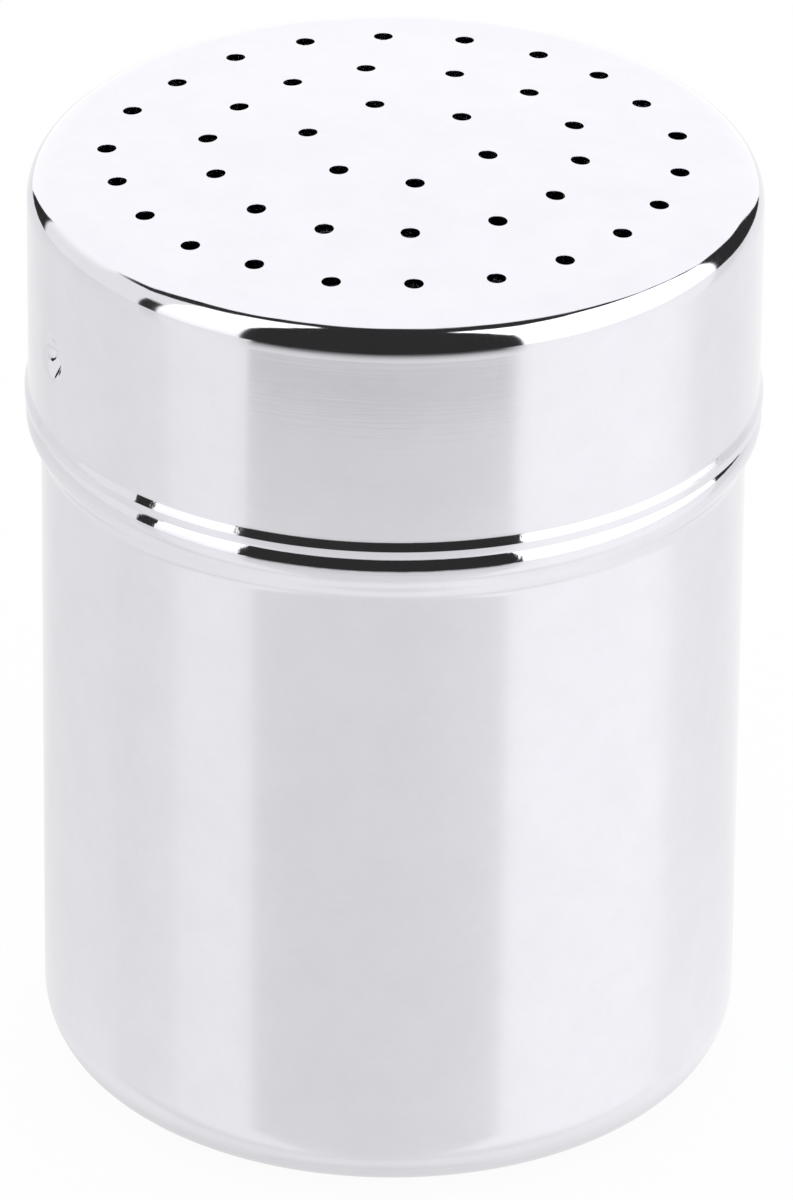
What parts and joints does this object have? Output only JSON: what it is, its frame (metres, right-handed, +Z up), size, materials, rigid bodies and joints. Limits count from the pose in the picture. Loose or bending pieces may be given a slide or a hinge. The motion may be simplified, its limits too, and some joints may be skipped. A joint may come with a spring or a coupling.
{
  "type": "spice shaker",
  "caption": "Round polished steel spice shaker: a drawn cup with a rolled bead and a domed perforated lid that lifts off its neck.",
  "frame": {"origin": "centre of the cup's flat base, on the surface it stands on", "axes": "+Z up the shaker's axis; the picture was taken from the -Y side, with +X to its right"},
  "size_m": [0.07, 0.07, 0.096],
  "materials": {
    "cup_steel": "mirror-polished stainless steel with fine handling marks",
    "lid_steel": "mirror-polished stainless steel"
  },
  "bodies": {
    "cup": {"cup": "cup_steel"},
    "lid": {"lid": "lid_steel"}
  },
  "joints": [
    {"name": "lid_lift", "type": "slide", "parent": "cup", "child": "lid", "axis": [0, 0, 1], "range_m": [0, 0.03]}
  ]
}
